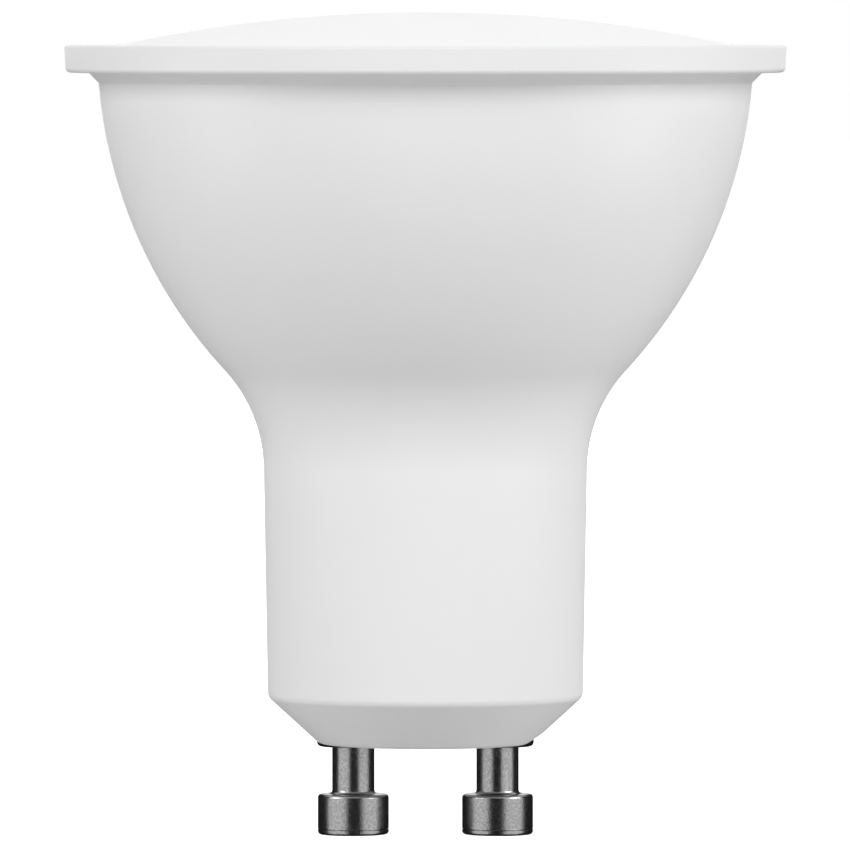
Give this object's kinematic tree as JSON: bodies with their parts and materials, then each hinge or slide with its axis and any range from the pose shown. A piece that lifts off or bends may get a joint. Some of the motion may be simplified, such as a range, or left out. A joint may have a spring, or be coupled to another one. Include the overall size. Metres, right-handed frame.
{
  "type": "gu10 spotlight bulb",
  "caption": "Reflector lamp with a white moulded bowl and rim, an opal domed front, and a tapered foot whose headed pins push in and twist to lock.",
  "frame": {"origin": "centre of the foot's flat end face, between the two pins", "axes": "+Z along the lamp's axis out of the lit front, +X from the left pin to the right pin, the pins pointing to -Z"},
  "size_m": [0.05, 0.05, 0.057],
  "materials": {
    "housing_plastic": "satin white moulding with a very fine mould texture",
    "opal_plastic": "smooth opal white, lets light through but no view",
    "pin_metal": "turned and nickel plated, satin with a fine grain"
  },
  "bodies": {
    "root": {"housing": "housing_plastic", "diffuser": "opal_plastic", "pin_left": "pin_metal", "pin_right": "pin_metal"}
  },
  "joints": []
}
